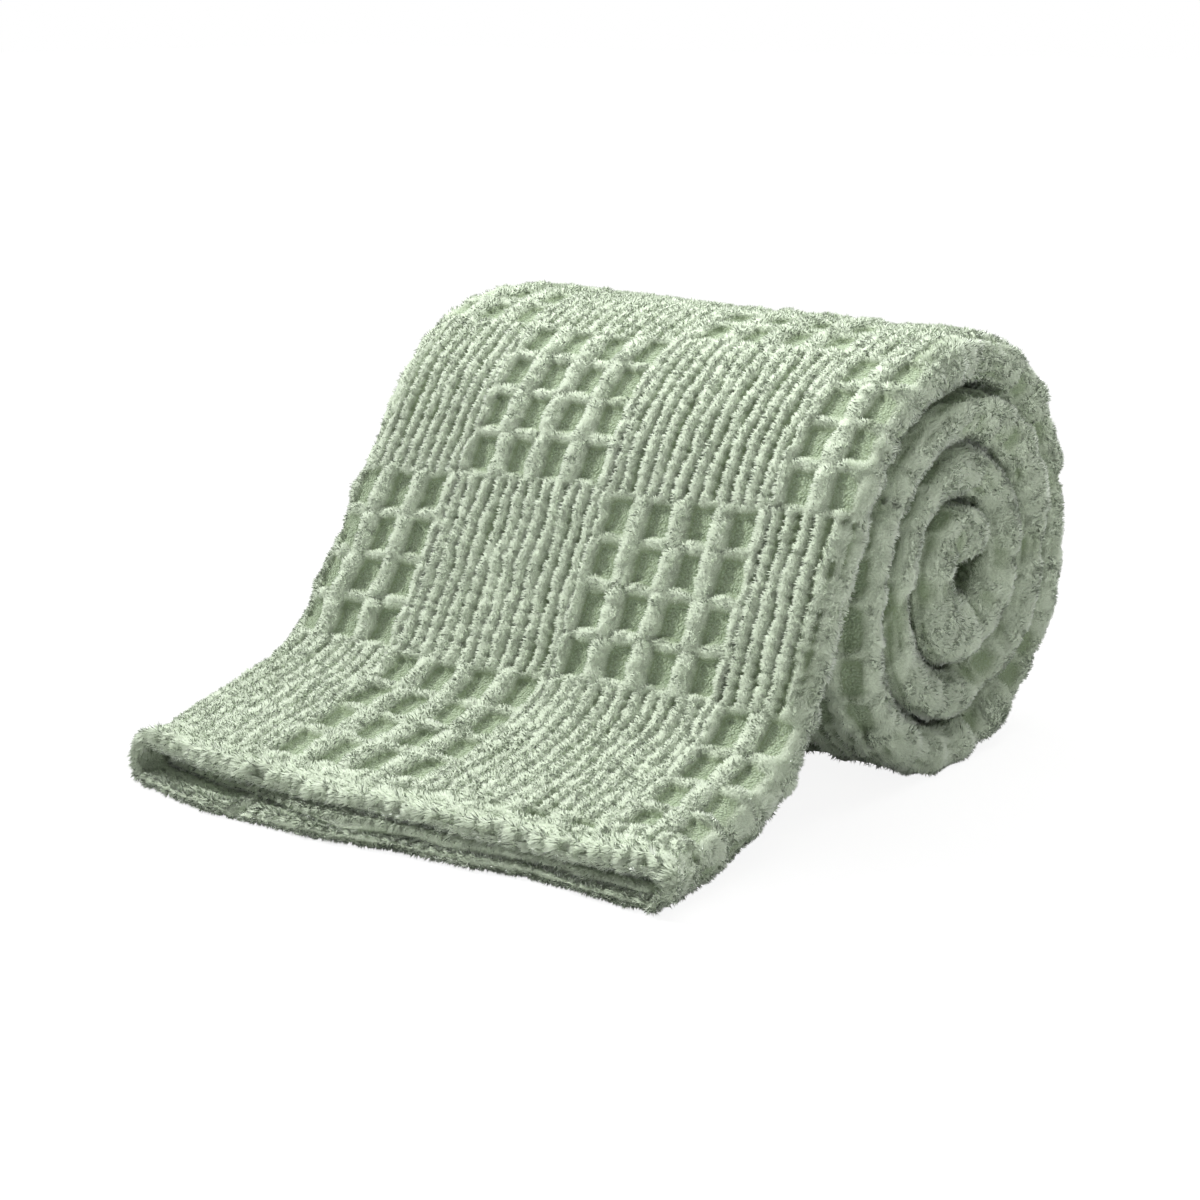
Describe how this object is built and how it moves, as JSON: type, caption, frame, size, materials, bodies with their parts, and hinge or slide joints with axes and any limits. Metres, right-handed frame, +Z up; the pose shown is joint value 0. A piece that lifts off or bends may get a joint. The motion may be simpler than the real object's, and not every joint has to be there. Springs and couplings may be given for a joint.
{
  "type": "rolled throw blanket",
  "caption": "Plush velvet throw folded lengthwise and rolled up, its hemmed free end lying in front of the roll, with blocks of ribs and sunken squares.",
  "frame": {"origin": "on the surface it rests on, under the middle of the whole blanket", "axes": "+X along the roll towards its near end, -Y towards the free hemmed end, +Z up"},
  "size_m": [0.3272, 0.3996, 0.2236],
  "materials": {
    "velvet": "sage green cut-pile velvet with sunken squares and ribs"
  },
  "bodies": {
    "root": {"throw_blanket": "velvet"}
  },
  "joints": []
}
